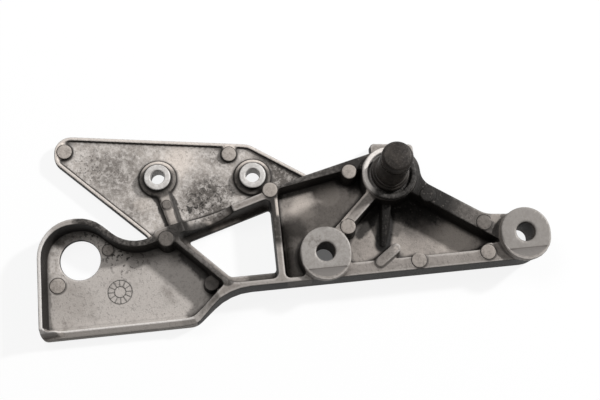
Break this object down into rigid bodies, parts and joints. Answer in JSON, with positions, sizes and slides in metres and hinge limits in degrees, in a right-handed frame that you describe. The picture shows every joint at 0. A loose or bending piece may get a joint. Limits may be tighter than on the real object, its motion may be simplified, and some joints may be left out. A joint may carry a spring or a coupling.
{
  "type": "motorcycle footrest hanger",
  "caption": "Die-cast footrest hanger: ribbed triangular body with frame bosses, a heel plate, a silencer arm with a round opening, and a stepped steel pivot pin.",
  "frame": {"origin": "axis of the front frame bolt, in the plane of the two machined boss seats", "axes": "+X from the front frame bolt to the rear one, +Y towards the pivot pin's side of the bolt line, +Z out of the boss seats towards the motorcycle's frame"},
  "size_m": [0.2653, 0.1075, 0.05],
  "materials": {
    "cast_aluminium": "as-cast, pitted and stained, with machined boss faces",
    "dark_steel": "turned, dark with old grease"
  },
  "bodies": {
    "root": {"hanger_casting": "cast_aluminium", "pivot_pin": "dark_steel"}
  },
  "joints": []
}
